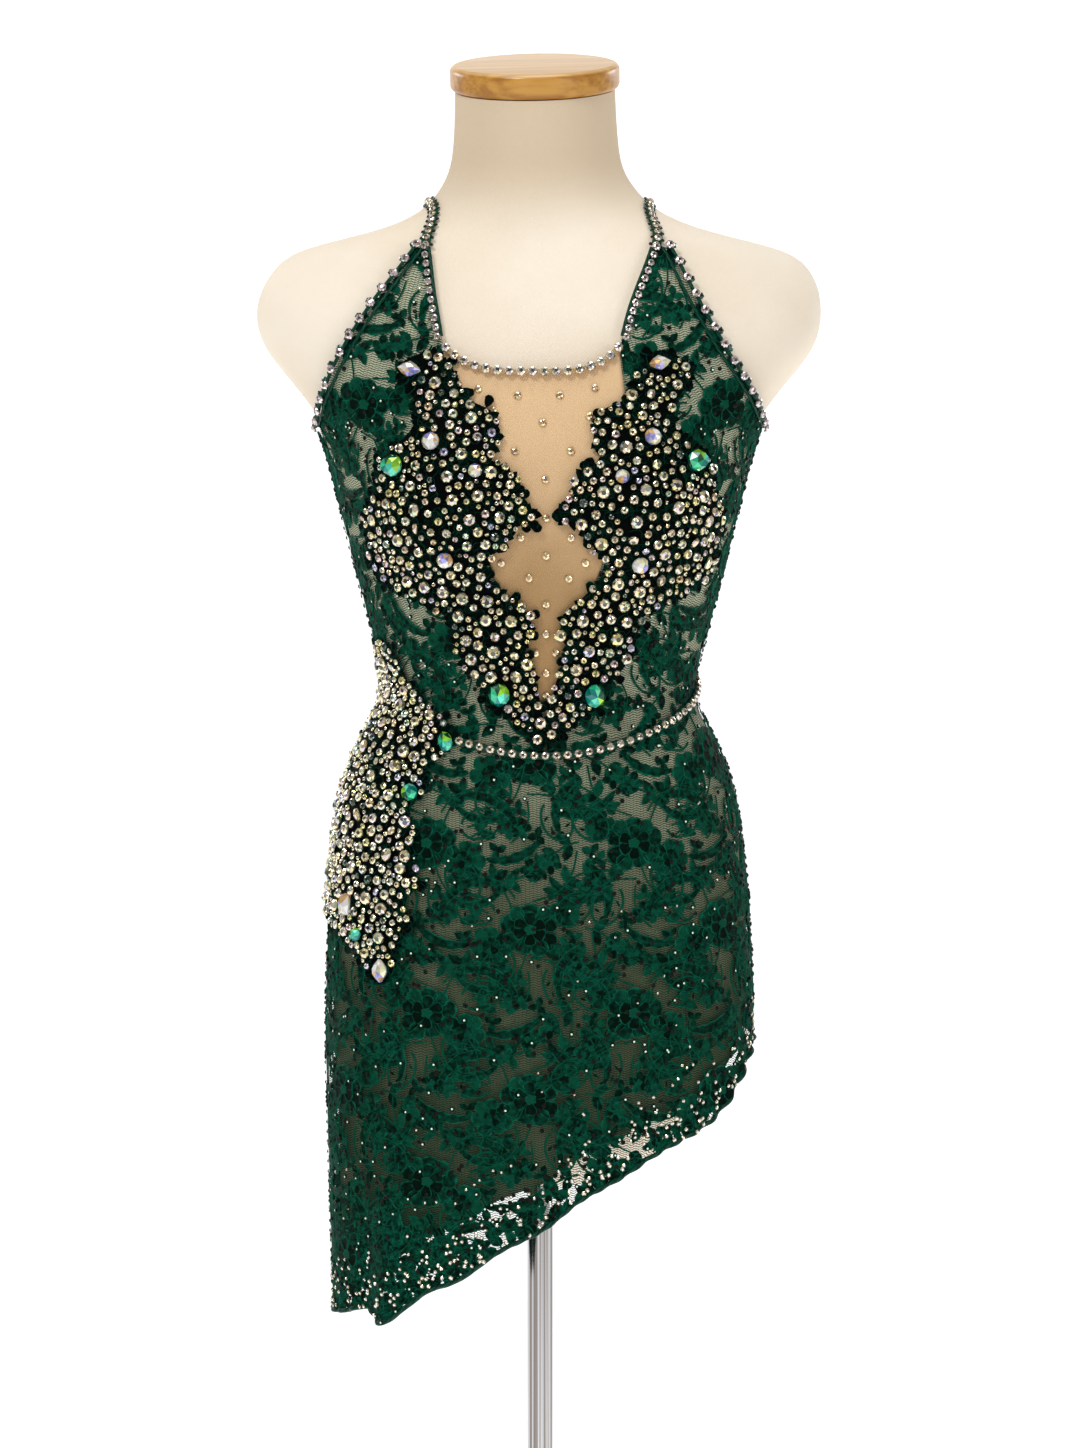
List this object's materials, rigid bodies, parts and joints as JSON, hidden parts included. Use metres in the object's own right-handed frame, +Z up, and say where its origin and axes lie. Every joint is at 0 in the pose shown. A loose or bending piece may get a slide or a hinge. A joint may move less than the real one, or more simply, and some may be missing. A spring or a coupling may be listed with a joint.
{
  "type": "lace dance costume on a limbless dress form with a stand",
  "caption": "Sleeveless lace dance costume with a slanting hem, beaded wings and a hip spray, on a limbless dress form with a neck cap, pole and round base.",
  "frame": {"origin": "middle of the base plate's underside, where the stand meets the floor", "axes": "+Z up along the pole, the costume's front faces -Y, +X is the viewer's right"},
  "size_m": [0.416, 0.3, 1.5112],
  "materials": {
    "linen": "taut cream cloth cover",
    "wood": "honey varnish",
    "chrome": "polished",
    "steel": "satin",
    "lace": "emerald flower lace on fine net",
    "lining": "matt stretch jersey",
    "skin_mesh": "tan stretch mesh",
    "satin": "satin binding",
    "applique": "thick corded lace with beads",
    "pearl": "foiled cut stone with a rainbow coat",
    "green": "foiled cut stone"
  },
  "bodies": {
    "root": {"form_torso": "linen", "neck_cap": "wood", "pole": "chrome", "base_hub": "chrome", "base_plate": "steel", "bodice_lace_left": "lace", "bodice_lace_right": "lace", "bodice_lace_back": "lace", "skirt_lace_front": "lace", "skirt_lace_back": "lace", "bodice_lining_left": "lining", "bodice_lining_right": "lining", "bodice_lining_back": "lining", "skirt_lining_front": "lining", "skirt_lining_back": "lining", "insert": "skin_mesh", "hem_front": "satin", "hem_back": "satin", "belt_front": "satin", "belt_back": "satin", "strap_left": "satin", "strap_right": "satin", "armhole_binding_left": "satin", "armhole_binding_right": "satin", "neck_binding_left": "satin", "neck_binding_right": "satin", "neckline_row": "satin", "back_binding": "satin", "applique_wing_left": "applique", "applique_wing_right": "applique", "applique_hip": "applique", "stone_ab_rhomb_left": "pearl", "stone_ab_rhomb_right": "pearl", "stone_ab_bust_left": "pearl", "stone_ab_bust_right": "pearl", "stone_ab_inner_left": "pearl", "stone_ab_inner_right": "pearl", "stone_ab_rib_left": "pearl", "stone_ab_rib_right": "pearl", "stone_ab_hip": "pearl", "stone_ab_hip_tip": "pearl", "stone_green_bust_left": "green", "stone_green_bust_right": "green", "stone_green_waist_left": "green", "stone_green_waist_right": "green", "stone_green_belt": "green", "stone_green_hip": "green", "stone_green_hip_low": "green"}
  },
  "joints": []
}
